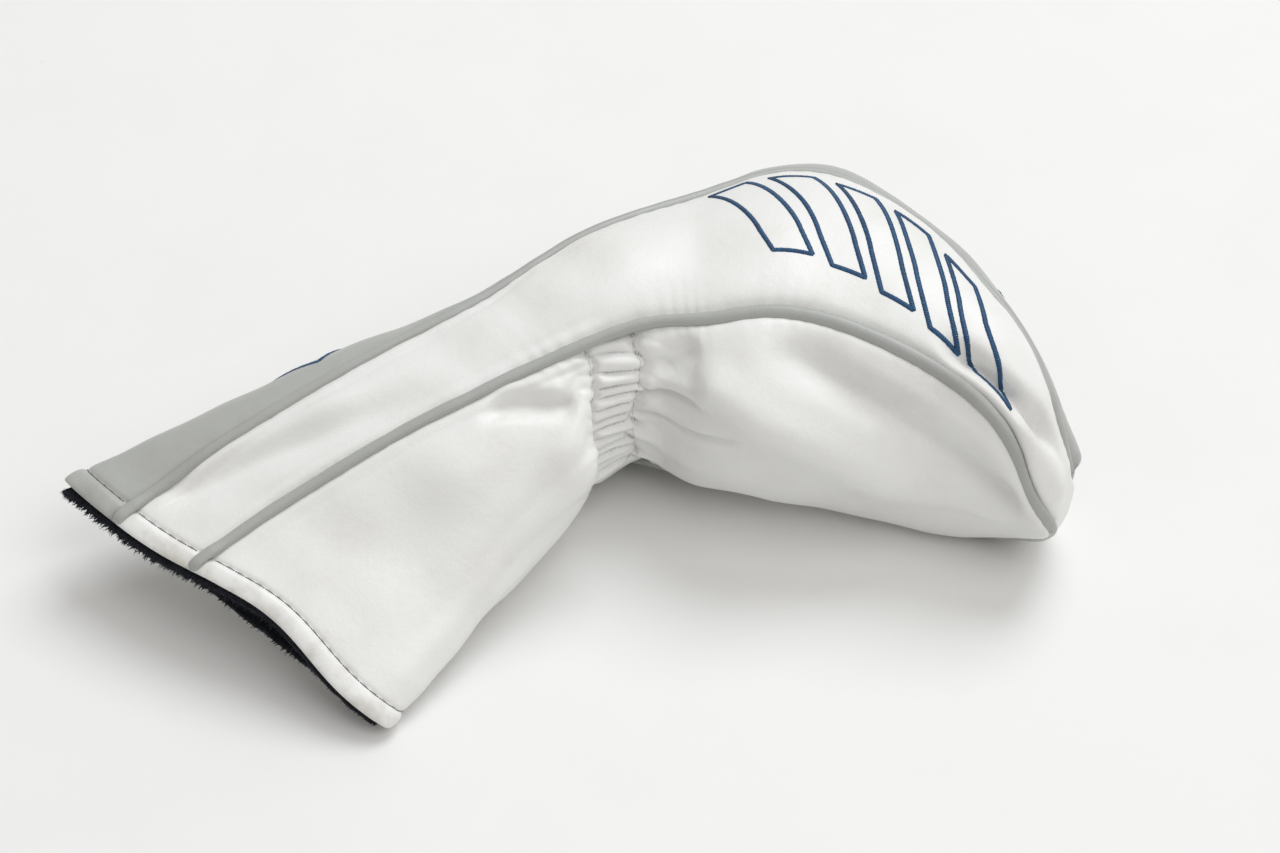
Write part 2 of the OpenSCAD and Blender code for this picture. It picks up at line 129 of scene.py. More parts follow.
def oval(r, angle, depth):
    """Points on the oval: r 0 at the mouth and 1 at the toe, angle in degrees from the crown."""
    r, angle, depth = np.broadcast_arrays(r, angle, depth)
    s = station_place(r, depth)
    v = station(s)
    ahead, behind = station(s + SLOPE_STEP), station(s - SLOPE_STEP)
    middle = (v[..., 0:3] + v[..., 3:6]) / 2
    along = unit((ahead - behind)[..., 0:3] + (ahead - behind)[..., 3:6])
    chord = v[..., 0:3] - v[..., 3:6]
    across = unit(chord)
    up = unit(np.cross(along, across)) - v[..., 9:10] * along
    turn = np.radians(angle)
    sag = 1 + (SAG - 1) * np.clip((s - SAG_FROM) / (SAG_TO - SAG_FROM), 0, 1)
    height = (v[..., 6] - depth) * np.cos(nose_turn(r))
    height = np.where(np.sin(turn) < 0, height * sag, height)
    narrow = 1 - NOSE_NARROW * (1 - np.cos(nose_turn(r))) ** 2
    width = np.linalg.norm(chord, axis=-1) / 2 * narrow - depth
    point = (middle
             + across * (width * signed_pow(np.cos(turn), 2 / ROUNDNESS))[..., None]
             + up * (height * signed_pow(np.sin(turn), 2 / ROUNDNESS))[..., None])
    wave = hump((angle - WAVE_AT) / WAVE_WIDTH) * smooth(1 - r / WAVE_RUN)
    return point + WAVE * wave[..., None]


def crown_seam(r):
    return station(station_place(r, 0))[..., 7]


def sole_seam(r):
    return station(station_place(r, 0))[..., 8]


# ---- the grid that every leather piece is cut from ----

HEM_START = 0.008
HEM_END = 0.0245
# The hem's inside layer, from deep inside the mouth round its folded edge: (r, depth)
HEM_FOLD = [(0.032, 2.9), (0.026, 2.9), (0.02, 2.9), (0.014, 2.8), (0.0105, 2.3),
            (0.0085, 1.5), (0.0078, 0.7)]
# Where the rows are dense: (from, to, step)
ROW_SPANS = [(0.008, 0.034, 0.0014), (0.034, 0.24, 0.0065), (0.24, 0.30, 0.0035),
             (0.30, 0.47, 0.0024), (0.47, 0.62, 0.0036), (0.62, 0.95, 0.006),
             (0.95, 1.0, 0.004)]
CROWN_HALF = 12
GUSSET_COLS = 34
SOLE_COLS = 140
LEATHER_MM = 1.2


def row_list():
    """The grid's rows as (r, depth), from inside the hem to the toe."""
    rows = list(HEM_FOLD)
    for start, end, step in ROW_SPANS:
        count = round((end - start) / step)
        rows += [(start + (end - start) * i / count, 0.0) for i in range(count)]
    rows.append((1.0, 0.0))
    return np.array(rows)


ROWS = row_list()
R = ROWS[:, 0]
FOLD_ROWS = len(HEM_FOLD)
SEAM_COLS = np.cumsum([0, CROWN_HALF, GUSSET_COLS, SOLE_COLS, GUSSET_COLS, CROWN_HALF])
COLS = SEAM_COLS[-1]
CROWN_TOP_SEAM, SOLE_TOP_SEAM, SOLE_UNDER_SEAM, CROWN_UNDER_SEAM = SEAM_COLS[1:5]


def grid_angles():
    """Angle of every grid column on every row, with a column on each seam."""
    a, b = crown_seam(R)[:, None], sole_seam(R)[:, None]
    zero = np.zeros_like(a)
    stops = [zero, a, b, 360 - b, 360 - a, zero + 360]
    parts = []
    for k in range(5):
        share = np.linspace(0, 1, SEAM_COLS[k + 1] - SEAM_COLS[k], endpoint=False)
        parts.append(stops[k] + (stops[k + 1] - stops[k]) * share)
    return np.hstack(parts)


ANGLE = grid_angles()
RR = np.broadcast_to(R[:, None], ANGLE.shape)


# ---- relief: how far each place stands out from the plain oval ----

# Stitch rows of the gathered neck: (angle, r)
FRONT_ROW = np.array([(100, 0.356), (117, 0.350), (132, 0.343), (138, 0.333), (149, 0.318),
                      (161, 0.307), (173, 0.297), (187, 0.295), (215, 0.315), (250, 0.345)])
BACK_ROW = np.array([(100, 0.402), (144, 0.400), (156, 0.393), (161, 0.388), (173, 0.377),
                     (184, 0.372), (199, 0.375), (220, 0.39), (250, 0.402)])
BAND_MM = 14             # average distance between the two rows
ALONG_MM = 300           # millimetres for one unit of r, where folds are measured


def front_row(angle):
    return np.interp(angle, FRONT_ROW[:, 0], FRONT_ROW[:, 1])


def back_row(angle):
    return np.interp(angle, BACK_ROW[:, 0], BACK_ROW[:, 1])


PUCKER_START = 108       # angle where the first pucker begins on the front row
PUCKER_LEAN = 19         # puckers reach the back row this many degrees further round
# Degrees across each pucker: three broad ones by the piping, then narrow ones
PUCKER_WIDTHS = np.concatenate([[10.5, 9.5, 6.5], rng.uniform(4.0, 6.6, 26)])
PUCKER_EDGES = PUCKER_START + np.concatenate([[0], np.cumsum(PUCKER_WIDTHS)])


def pucker_phase(angle):
    """Counts puckers down the neck; whole numbers are the creases between them."""
    return np.interp(angle, PUCKER_EDGES, np.arange(len(PUCKER_EDGES)))


PUCKER_HEIGHTS = rng.uniform(0.65, 1.2, len(PUCKER_EDGES))
PUCKER_SHIFTS = rng.uniform(-0.09, 0.09, len(PUCKER_EDGES))
PUCKER_MM = 3.2          # height of an average pucker above the sunk band
BAND_SUNK = 1.2
WAIST_MM = 2.8           # how far the elastic draws the whole neck in
WAIST_REACH = 12
PINCH_MM = 1.5           # how far each stitch row pulls the leather down
PINCH_REACH = 1.2
RAY_REACH = 4.5          # millimetres beyond the stitching that single puckers run on
SWELL_MM = 1.1           # broad waves that pairs of puckers send further out
SWELL_REACH = 15
SWELL_START = 5


def gathers(r, angle):
    """Puckers between the two stitch rows of the neck, and the folds they send out."""
    start, end = front_row(angle), back_row(angle)
    place = (r - start) / (end - start)
    phase = pucker_phase(angle - PUCKER_LEAN * np.clip(place, -0.4, 1.6))
    number = np.clip(np.floor(phase).astype(int), 0, len(PUCKER_WIDTHS))
    height = PUCKER_HEIGHTS[number]
    arch = np.abs(np.sin(np.pi * phase))
    place = place + (PUCKER_SHIFTS[number] + np.where(number % 2 == 0, 0.06, -0.06)) * arch
    inside = np.sin(np.pi * np.clip(place, 0, 1)) ** 0.45
    pillow = height * (PUCKER_MM * arch ** 0.55 * inside) - BAND_SUNK
    outer = np.where(place < 0, -place, np.maximum(place - 1, 0)) * BAND_MM
    slow = np.sin(np.pi * phase * 0.5 + 0.6)
    ray = (height * (arch ** 0.7 - 0.6) * np.exp(-outer / RAY_REACH)
           + SWELL_MM * slow * np.exp(-outer / SWELL_REACH) * smooth(outer / SWELL_START))
    along = place * BAND_MM
    pinch = -PINCH_MM * (hump(along / PINCH_REACH) + hump((along - BAND_MM) / PINCH_REACH))
    waist = -WAIST_MM * hump((along - BAND_MM / 2) / WAIST_REACH)
    band = np.where((place < 0) | (place > 1), ray, pillow)
    edge = smooth((angle - sole_seam(r)) / 4) * smooth((360 - sole_seam(r) - angle) / 4)
    return (band + pinch + waist) * edge


def path_distance(r, angle, path):
    """Millimetres to a polyline of (r, angle) points, and the share of the line reached.

    One degree is close to a millimetre on every panel, so angles are used as they are."""
    best = np.full(np.shape(r), np.inf)
    share = np.zeros(np.shape(r))
    for k in range(len(path) - 1):
        ax, ay = path[k][0] * ALONG_MM, path[k][1]
        dx, dy = path[k + 1][0] * ALONG_MM - ax, path[k + 1][1] - ay
        px, py = r * ALONG_MM - ax, angle - ay
        t = np.clip((px * dx + py * dy) / (dx * dx + dy * dy), 0, 1)
        gap = np.hypot(px - t * dx, py - t * dy)
        near = gap < best
        best = np.where(near, gap, best)
        share = np.where(near, (k + t) / (len(path) - 1), share)
    return best, share


def crease(r, angle, path, height, width, start, end):
    """A long soft ridge (or valley, if height is negative) that fades in and out."""
    gap, share = path_distance(r, angle, path)
    return height * hump(gap / width) * smooth(share / start) * smooth((1 - share) / end)


def bulge(r, angle, at, radii, height):
    """A soft round rise (or dent, if height is negative) centred at (r, angle)."""
    return height * hump((r - at[0]) / radii[0]) * hump((angle - at[1]) / radii[1])


# Long folds: path of (r, angle), height, width, and the shares of it that fade in and out
LONG_FOLDS = [
    # from the neck into the hood's sole panel: two ridges and the two creases below them
    ([(0.386, 155), (0.43, 154), (0.48, 154), (0.53, 156)], 2.0, 5, 0.1, 0.5),
    ([(0.386, 160), (0.43, 160), (0.48, 160), (0.53, 162)], -1.9, 1.6, 0.08, 0.5),
    ([(0.386, 164), (0.43, 167), (0.49, 168)], 1.3, 4, 0.1, 0.5),
    ([(0.381, 168), (0.41, 173), (0.45, 177), (0.527, 174), (0.588, 169)],
     -1.8, 1.5, 0.08, 0.4),
    # the hollow beside the piping at the neck
    ([(0.41, 150), (0.435, 144), (0.465, 136), (0.49, 130)], -3.4, 5.5, 0.3, 0.45),
    # the long ridge of the sole panel, the bowl above it and its low end
    ([(0.47, 146), (0.52, 151), (0.584, 163), (0.674, 172), (0.758, 181), (0.83, 186)],
     5.6, 10, 0.2, 0.25),
    ([(0.56, 132), (0.632, 138), (0.698, 146), (0.782, 157), (0.848, 165), (0.905, 168)],
     -5.8, 8.5, 0.25, 0.15),
    ([(0.77, 188), (0.83, 185), (0.88, 184)], 1.2, 4, 0.3, 0.3),
    # the fold that the neck sends into the sleeve, and the rise beside it
    ([(0.235, 98), (0.255, 105), (0.28, 117), (0.307, 131)], -3.4, 3.4, 0.2, 0.15),
    ([(0.24, 92), (0.26, 98), (0.285, 109), (0.31, 122)], 1.2, 3.5, 0.3, 0.2),
    # the valley across the gusset at the toe
    ([(0.76, 113), (0.80, 110), (0.836, 107), (0.88, 92), (0.93, 74)], -6.2, 5.5, 0.25, 0.25),
    # the long dent down the sleeve's gusset, and the rise beside it
    ([(0.03, 58), (0.10, 63), (0.173, 74), (0.235, 86)], -3.4, 6.5, 0.15, 0.35),
    ([(0.06, 53), (0.14, 59), (0.22, 68)], 1.0, 5, 0.15, 0.35),
]
# Round swells and dents: centre (r, angle), radii (r, angle), height
ROUND_SWELLS = [
    ((0.945, 98), (0.035, 14), 1.6),
    ((0.15, 120), (0.05, 18), -1.6),
    ((0.20, 108), (0.04, 10), 1.2),
]
# The sleeve bulges over the front stitch row, and stops short of it
OVERHANG = ((0.278, 152), (0.045, 24), 7.5)
OVERHANG_GAP = 0.001
OVERHANG_EDGE = 0.011


def folds(r, angle):
    """The folds that the neck sends into both panels, and the dents of a soft cover."""
    out = np.zeros(np.shape(r))
    for path, height, width, start, end in LONG_FOLDS:
        out += crease(r, angle, path, height, width, start, end)
    for at, radii, height in ROUND_SWELLS:
        out += bulge(r, angle, at, radii, height)
    over_stitches = bulge(r, angle, *OVERHANG)
    return out + over_stitches * smooth((front_row(angle) - OVERHANG_GAP - r) / OVERHANG_EDGE)


def seam_allowance(r, gap):
    """The faint ridge and line of the seam allowance that lies flat beside the piping."""
    ridge = 0.35 * hump((gap - 4) / 1.6)
    line = 0.45 * hump((gap - 6) / 0.9)
    return smooth((0.40 - r) / 0.06) * (ridge - line)


def hem_relief(r, depth):
    """The puffed edge of the mouth and the groove its stitching pulls."""
    share = np.clip((r - HEM_START) / (HEM_END - HEM_START), 0, 1)
    puff = 0.9 * np.sqrt(np.sin(np.pi * share))
    groove = -0.5 * hump((r - HEM_END) * RUN_MM / 0.9)
    return np.where(depth > 0, 0, puff + groove)


def unevenness(points):
    """Broad random swell, so that no panel is perfectly smooth."""
    total = np.zeros(points.shape[:-1])
    for size, height in ((70, 0.5), (38, 0.35), (21, 0.18)):
        for _ in range(4):
            direction = unit(rng.normal(size=3))
            phase = points @ direction * 2 * np.pi / size + rng.uniform(0, 6.3)
            total += height / 2 * np.sin(phase)
    return total


def lengths_along(path):
    """Length of a path up to each of its points."""
    return np.concatenate([[0], np.cumsum(np.linalg.norm(np.diff(path, axis=0), axis=1))])


def read_at(at, places, field):
    """A field's rows, known at these places, interpolated at others."""
    return np.stack([np.interp(at, places, column) for column in field.T], axis=1)


def seam_distance(points):
    """Millimetres along the row to the nearest seam column."""
    steps = np.linalg.norm(np.roll(points, -1, axis=1) - points, axis=-1)
    run = np.hstack([np.zeros((len(points), 1)), np.cumsum(steps, axis=1)])
    total = run[:, -1:]
    seams = run[:, SEAM_COLS[1:5]]
    gap = np.abs(run[:, :-1, None] - seams[:, None, :])
    gap = np.minimum(gap, total[..., None] - gap)
    return gap.min(axis=-1)


def grid_normals(points):
    """Outward normals of the grid."""
    along = np.gradient(points, axis=0)
    around = np.roll(points, -1, axis=1) - np.roll(points, 1, axis=1)
    normals = np.cross(around, along)
    normals[-1] = (points[-1] - points[-4]).mean(axis=0)
    return unit(normals)


def rest_on_table(points, least=0.0):
    """The points with none lower than this height."""
    return np.maximum(points, (-np.inf, -np.inf, least))


def on_hood(r):
    """0 on the sleeve, 1 on the hood, changing over just past the neck."""
    return smooth((r - 0.42) / 0.15)


TUCK_MM = (0.9, 1.1)      # how deep a seam pulls the leather: on the sleeve, and more on the hood
TUCK_REACH = 2.4
PUFF_MM = (0.2, 1.4)      # how far padding lifts a panel: on the sleeve, and more on the hood
PUFF_REACH = 9
RIPPLE_MM = 0.14          # small waves that the sewing leaves beside a seam
RIPPLE_PITCH = 9
RIPPLE_REACH = 5


def leather_grid():
    """The outer face of all the leather, with its folds, gathers and tucks."""
    depth = np.broadcast_to(ROWS[:, 1:2], ANGLE.shape)
    base = oval(RR, ANGLE, depth)
    normals = grid_normals(base)
    gap = seam_distance(base)
    padded = on_hood(RR)
    tuck = -(TUCK_MM[0] + TUCK_MM[1] * padded) * hump(gap / TUCK_REACH)
    puff = (PUFF_MM[0] + PUFF_MM[1] * padded) * (1 - np.exp(-gap / PUFF_REACH)) - PUFF_MM[0]
    ripple_phase = RR * RUN_MM * 2 * np.pi / RIPPLE_PITCH + 3 * np.sin(RR * 41)
    seam_ripple = RIPPLE_MM * np.sin(ripple_phase) * np.exp(-gap / RIPPLE_REACH)
    inner = depth > 0
    free = np.where(inner, 0, smooth((RR - HEM_END) / 0.03)) * smooth((1 - RR) / 0.04)
    relief = (puff + seam_ripple + seam_allowance(RR, gap) + folds(RR, ANGLE) + gathers(RR, ANGLE)
              + unevenness(base) * smooth(gap / 8)) * free
    relief = relief + np.where(inner, 0, tuck) + hem_relief(RR, depth)
    return rest_on_table(base + normals * relief[..., None])


# ---- meshes ----

def mesh_piece(name, points, faces, attributes=None):
    """A mesh object from points in millimetres. Each attribute holds one number a point."""
    data = bpy.data.meshes.new(name)
    data.from_pydata((points * MM).tolist(), [], faces)
    rest = data.attributes.new("rest_mm", "FLOAT_VECTOR", "POINT")
    rest.data.foreach_set("vector", np.asarray(points, np.float32).ravel())
    for key, values in (attributes or {}).items():
        made = data.attributes.new(key, "FLOAT", "POINT")
        made.data.foreach_set("value", np.asarray(values, np.float32).ravel())
    data.validate()
    data.polygons.foreach_set("use_smooth", np.ones(len(data.polygons), bool))
    piece = bpy.data.objects.new(name, data)
    bpy.context.scene.collection.objects.link(piece)
    return piece


def strip_faces(rows, cols, ring=False):
    """Quads between the rows of a grid; a ring also joins its last column to its first."""
    faces = []
    for i in range(rows - 1):
        for j in range(cols if ring else cols - 1):
            k = (j + 1) % cols
            faces.append((i * cols + j, i * cols + k, (i + 1) * cols + k, (i + 1) * cols + j))
    return faces


def weld(piece):
    """Joins the points that meet where a panel folds round the toe."""
    mesh = bmesh.new()
    mesh.from_mesh(piece.data)
    bmesh.ops.remove_doubles(mesh, verts=mesh.verts, dist=1e-5)
    mesh.to_mesh(piece.data)
    mesh.free()


def give_thickness(piece, thickness):
    """Grows the sheet inward by this many millimetres."""
    solid = piece.modifiers.new("thickness", "SOLIDIFY")
    solid.thickness = thickness * MM
    solid.offset = -1


def out_and_back(top, under):
    """Rows of the upper face out to the toe, then those of the underside back to the mouth."""
    return np.concatenate([top, under[:-1][::-1]])


def leather_sheet(name, points, r):
    """A sheet of leather through these rows of points."""
    rows, cols = points.shape[:2]
    piece = mesh_piece(name, points.reshape(-1, 3), strip_faces(rows, cols),
                       {"along_mm": r.ravel() * RUN_MM})
    give_thickness(piece, LEATHER_MM)
    return piece


def panel(name, points, columns):
    """The part of the leather grid in these columns, folded and welded at the toe."""
    piece = leather_sheet(name, points[:, columns], RR[:, columns])
    weld(piece)
    return piece


def gusset_piece(name, points):
    """The band between the seams: out along the top, round the toe and back underneath."""
    top = np.arange(CROWN_TOP_SEAM, SOLE_TOP_SEAM + 1)
    under = np.arange(CROWN_UNDER_SEAM, SOLE_UNDER_SEAM - 1, -1)
    band = out_and_back(points[:, top], points[:, under])
    return leather_sheet(name, band, out_and_back(RR[:, top], RR[:, under]))


def sweep(path, outward, section, closed=False):
    """Points and faces of a section carried along a path. section(i) gives (side, out) pairs."""
    ahead = np.roll(path, -1, axis=0)
    behind = np.roll(path, 1, axis=0)
    if not closed:
        ahead[-1] = path[-1]
        behind[0] = path[0]
    along = unit(ahead - behind)
    out = unit(outward - along * (outward * along).sum(-1, keepdims=True))
    side = np.cross(along, out)
    rings = []
    for i in range(len(path)):
        shape = section(i)
        rings.append(path[i] + shape[:, :1] * side[i] + shape[:, 1:] * out[i])
    sides = len(rings[0])
    total = len(path) * sides
    quads = strip_faces(len(path) + closed, sides, ring=True)
    faces = [(a, d % total, c % total, b) for a, b, c, d in quads]
    if not closed:
        faces += [tuple(range(sides)), tuple(range(total - 1, total - sides - 1, -1))]
    return np.vstack(rings), faces


def circle(radius, sides, flat=1.0):
    """Points of a round section, flattened in its outward direction."""
    turn = np.arange(sides) * 2 * np.pi / sides
    return np.stack([radius * np.cos(turn), radius * flat * np.sin(turn)], axis=1)


PIPING_RADIUS = 1.8
PIPING_SIDES = 14
PIPING_STEP = 1.6
PIPING_SMOOTHING = 14     # passes that even out its path
PIPING_FLAT = 0.78        # its height as a share of its width, less where it crosses the hem
PIPING_IN_HEM = 0.9       # how far it stands out of the hem's inside layer


def even_path(path, outward, r, step):
    """The same path with points this far apart."""
    run = lengths_along(path)
    at = np.linspace(0, run[-1], int(run[-1] / step))
    return read_at(at, run, path), unit(read_at(at, run, outward)), np.interp(at, run, r)


def seam_piping(name, points, normals, top, under, fuller, tucked):
    """Cord covered in leather, along a seam from the mouth round the toe and back.

    It is fuller on the hood by this share, and tucked in by this share where it turns."""
    path = out_and_back(points[:, top], points[:, under])
    outward = out_and_back(normals[:, top], normals[:, under])
    r, depth = out_and_back(ROWS, ROWS).T
    proud = 0.8 + 0.8 * on_hood(r) - 3 * tucked * smooth((r - 0.9) / 0.08)
    over_hem = 1.1 * smooth((HEM_END + 0.004 - r) / 0.006)
    lift = np.where(depth > 0, PIPING_IN_HEM, proud + over_hem)
    path = path + outward * lift[:, None]
    path, outward, r = even_path(path, outward, r, PIPING_STEP)
    for _ in range(PIPING_SMOOTHING):
        path[1:-1] = (path[:-2] + 2 * path[1:-1] + path[2:]) / 4
        outward[1:-1] = (outward[:-2] + 2 * outward[1:-1] + outward[2:]) / 4
    path = rest_on_table(path, PIPING_RADIUS)
    wobble = 1 + 0.025 * np.sin(r * 97) + 0.02 * np.sin(r * 231 + 1)
    wobble += fuller * on_hood(r) - tucked * smooth((r - 0.9) / 0.08)
    flat = PIPING_FLAT - 0.3 * smooth((HEM_END + 0.002 - r) / 0.006)

    def section(i):
        return circle(PIPING_RADIUS * wobble[i], PIPING_SIDES, flat[i])

    points, faces = sweep(path, outward, section)
    along = np.repeat(lengths_along(path), PIPING_SIDES)
    return mesh_piece(name, points, faces, {"along_mm": along})


# ---- padding pressed out as cloth ----

CLOTH_FRAMES = 12
CLOTH_CAP_MM = 1.6        # the furthest that any point may move
HOLD_LEVELS = 11          # steps in how firmly a point is held
MOVE_SMOOTHING = 30       # passes that even out the cloth's moves
GATHER_HOLD = 0.012       # how far beyond the stitch rows the cloth is held, as a share of r


def held_weight(points):
    """1 where stitching or the table holds the leather, 0 where it may swell."""
    seam = 1 - smooth((seam_distance(points) - 1.5) / 7)
    hem = 1 - smooth((RR - HEM_END - 0.004) / 0.03)
    toe = smooth((RR - 0.97) / 0.025)
    before = smooth((RR - front_row(ANGLE) + GATHER_HOLD) / 0.008)
    after = smooth((back_row(ANGLE) + GATHER_HOLD - RR) / 0.008)
    on_sole = (ANGLE > sole_seam(RR)) & (ANGLE < 360 - sole_seam(RR))
    table = 1 - smooth((points[..., 2] - 0.3) / 4)
    return np.maximum.reduce([seam, hem, toe, before * after * on_sole, table])


def swell_as_cloth(points):
    """Cloth simulation of the leather over its foam, held at the stitching, with capped moves."""
    outer = points[FOLD_ROWS:]
    rows, cols = outer.shape[:2]
    piece = mesh_piece("cloth_run", outer.reshape(-1, 3), strip_faces(rows, cols, ring=True))
    group = piece.vertex_groups.new(name="held")
    held = held_weight(points)[FOLD_ROWS:].ravel()
    for level in np.linspace(0, 1, HOLD_LEVELS):
        members = np.nonzero(np.abs(held - level) <= 0.5 / (HOLD_LEVELS - 1))[0]
        group.add(members.tolist(), float(level), "REPLACE")
    cloth = piece.modifiers.new("cloth", "CLOTH")
    settings = cloth.settings
    settings.quality = 5
    settings.mass = 0.25
    settings.tension_stiffness = settings.compression_stiffness = 30
    settings.shear_stiffness = 12
    settings.bending_stiffness = 8
    settings.shrink_min = -0.004
    settings.use_pressure = True
    settings.uniform_pressure_force = 3.0
    settings.vertex_group_mass = "held"
    settings.effector_weights.gravity = 0
    cloth.collision_settings.use_collision = False
    cloth.collision_settings.use_self_collision = False
    cloth.point_cache.frame_start = 1
    cloth.point_cache.frame_end = CLOTH_FRAMES
    for moment in range(1, CLOTH_FRAMES + 1):
        bpy.context.scene.frame_set(moment)
    bpy.context.view_layer.update()
    result = piece.evaluated_get(bpy.context.evaluated_depsgraph_get()).data
    moved = np.empty(len(result.vertices) * 3, np.float32)
    result.vertices.foreach_get("co", moved)
    move = moved.reshape(outer.shape).astype(float) / MM - outer
    size = np.linalg.norm(move, axis=-1, keepdims=True)
    move *= np.minimum(1, CLOTH_CAP_MM / np.maximum(size, 1e-6))
    for _ in range(MOVE_SMOOTHING):
        move[1:-1] += 0.5 * ((move[2:] + move[:-2]) / 2 - move[1:-1])
        move += 0.5 * ((np.roll(move, 1, axis=1) + np.roll(move, -1, axis=1)) / 2 - move)
    bpy.context.scene.frame_set(1)
    bpy.data.objects.remove(piece)
    swollen = points.copy()
    swollen[FOLD_ROWS:] += move
    return rest_on_table(swollen)


# ---- places on the finished leather ----

def grid_sample(field, r, column):
    """Value of a grid field at a place given by r and a fractional column."""
    row = np.interp(r, R[FOLD_ROWS:], np.arange(FOLD_ROWS, len(R)))
    i = np.minimum(row.astype(int), len(R) - 2)
    f = (row - i)[:, None]
    j = np.floor(column).astype(int)
    g = (column - j)[:, None]
    a, b = j % COLS, (j + 1) % COLS
    low = field[i, a] * (1 - g) + field[i, b] * g
    high = field[i + 1, a] * (1 - g) + field[i + 1, b] * g
    return low * (1 - f) + high * f


def angle_column(r, angle):
    """Fractional column of an angle on the row at r."""
    a, b = crown_seam(r), sole_seam(r)
    marks = [-CROWN_HALF, 0, *SEAM_COLS[1:5], COLS]
    out = np.zeros(len(r))
    for k in range(len(r)):
        stops = [-a[k], 0, a[k], b[k], 360 - b[k], 360 - a[k], 360]
        out[k] = np.interp(angle[k], stops, marks)
    return out


def joined(parts):
    """The points and faces of several (points, faces) pairs as one pair."""
    points = [part[0] for part in parts]
    first = np.cumsum([0] + [len(each) for each in points])
    faces = [tuple(k + shift for k in face)
             for shift, part in zip(first, parts) for face in part[1]]
    return np.vstack(points), faces


STITCH_SINK = 0.25        # how deep a stitch's ends go, and how high its middle stands
STITCH_LIFT = 0.3
STITCH_STEPS = 6
STITCH_SIDES = 6


def thread_run(starts, ends, outs, radius):
    """Short curved stitches from starts to ends, each sunk into the leather at its ends."""
    steps = np.linspace(0, 1, STITCH_STEPS)
    arch = -STITCH_SINK + (STITCH_SINK + STITCH_LIFT) * np.sin(np.pi * steps) ** 0.6
    shape = circle(radius, STITCH_SIDES)
    stitches = []
    for a, b, out in zip(starts, ends, outs):
        path = a + (b - a) * steps[:, None] + out * arch[:, None]
        stitches.append(sweep(path, np.tile(out, (STITCH_STEPS, 1)), lambda i: shape))
    return joined(stitches)


def even_steps(points, pitch):
    """Fractional places along a polyline that are about one pitch apart."""
    run = lengths_along(points)
    count = max(2, round(run[-1] / pitch))
    return np.interp(np.linspace(0, run[-1], count + 1), run, np.arange(len(points)))


# ---- the inside: lining, pile and elastic ----

INSIDE_COLS = 96
INSIDE_ANGLES = np.arange(INSIDE_COLS) * 360 / INSIDE_COLS
INSIDE_LEAST = 2.6        # lowest height of anything inside, above the leather on the table
LINING_MM = 1.6
LINING_DEPTH = 3.5        # at the mouth; it lies deeper further in and at the pinched neck
FOAM_ROOM = 2.6
NECK_ROOM = 4.0
ELASTIC_MM = 0.7
ELASTIC_DEPTH = 6.6
PILE_PEEP = 0.0042        # how far the lining stands out along the crown, as a share of r


def inside_depth(r):
    """How far the lining lies in from the plain oval."""
    neck = hump((r - 0.355) / 0.07)
    return LINING_DEPTH + FOAM_ROOM * smooth((r - 0.03) / 0.1) + NECK_ROOM * neck


def inner_sheet(name, rows, depth, thickness, swell=0.0):
    """A sheet round the inside of the cover at this depth. rows is a column of values of r."""
    points = oval(rows, INSIDE_ANGLES[None, :], depth)
    points = points + rng.normal(0, 1, points.shape) * swell
    points = rest_on_table(points, INSIDE_LEAST)
    piece = mesh_piece(name, points.reshape(-1, 3), strip_faces(len(rows), INSIDE_COLS, ring=True))
    give_thickness(piece, thickness)
    return piece


def pile_tuck(angle):
    """How far the pile is tucked in behind the hem: 0 along the crown, most along the belly."""
    return 0.72 * smooth((angle - 85) / 45) * smooth((350 - angle) / 40)


def lining_piece():
    """The pile lining, which peeps out of the mouth along its crown side."""
    rows = np.concatenate([np.linspace(0.006, 0.06, 14), np.linspace(0.07, 0.93, 80)])[:, None]
    peep = PILE_PEEP * (1 - pile_tuck(INSIDE_ANGLES)) * smooth((0.06 - rows) / 0.05)
    return inner_sheet("pile_lining", rows - peep, inside_depth(rows), LINING_MM, swell=0.12)


def elastic_piece():
    rows = np.linspace(0.335, 0.375, 12)[:, None]
    return inner_sheet("neck_elastic_band", rows, ELASTIC_DEPTH, ELASTIC_MM)


TUFTS = 16000
TUFT_SIDES = 4
TUFT_STEPS = 4
TUFT_LENGTH = (0.9, 1.6)
TUFT_RADIUS = (0.14, 0.27)
TUFT_DEPTH = (3.3, 5.2)
TUFT_FROM = 0.001         # the outermost and innermost tufts, as values of r
TUFT_TO = 0.024
TUFT_LEAST = 0.3          # lowest height of a fibre


def tuft_faces():
    """Faces of every tuft: the quads round it and its two ends."""
    size = TUFT_STEPS * TUFT_SIDES
    tuft = strip_faces(TUFT_STEPS, TUFT_SIDES, ring=True)
    tuft += [tuple(reversed(range(TUFT_SIDES))), tuple(range(size - TUFT_SIDES, size))]
    return [tuple(n * size + k for k in face) for n in range(TUFTS) for face in tuft]


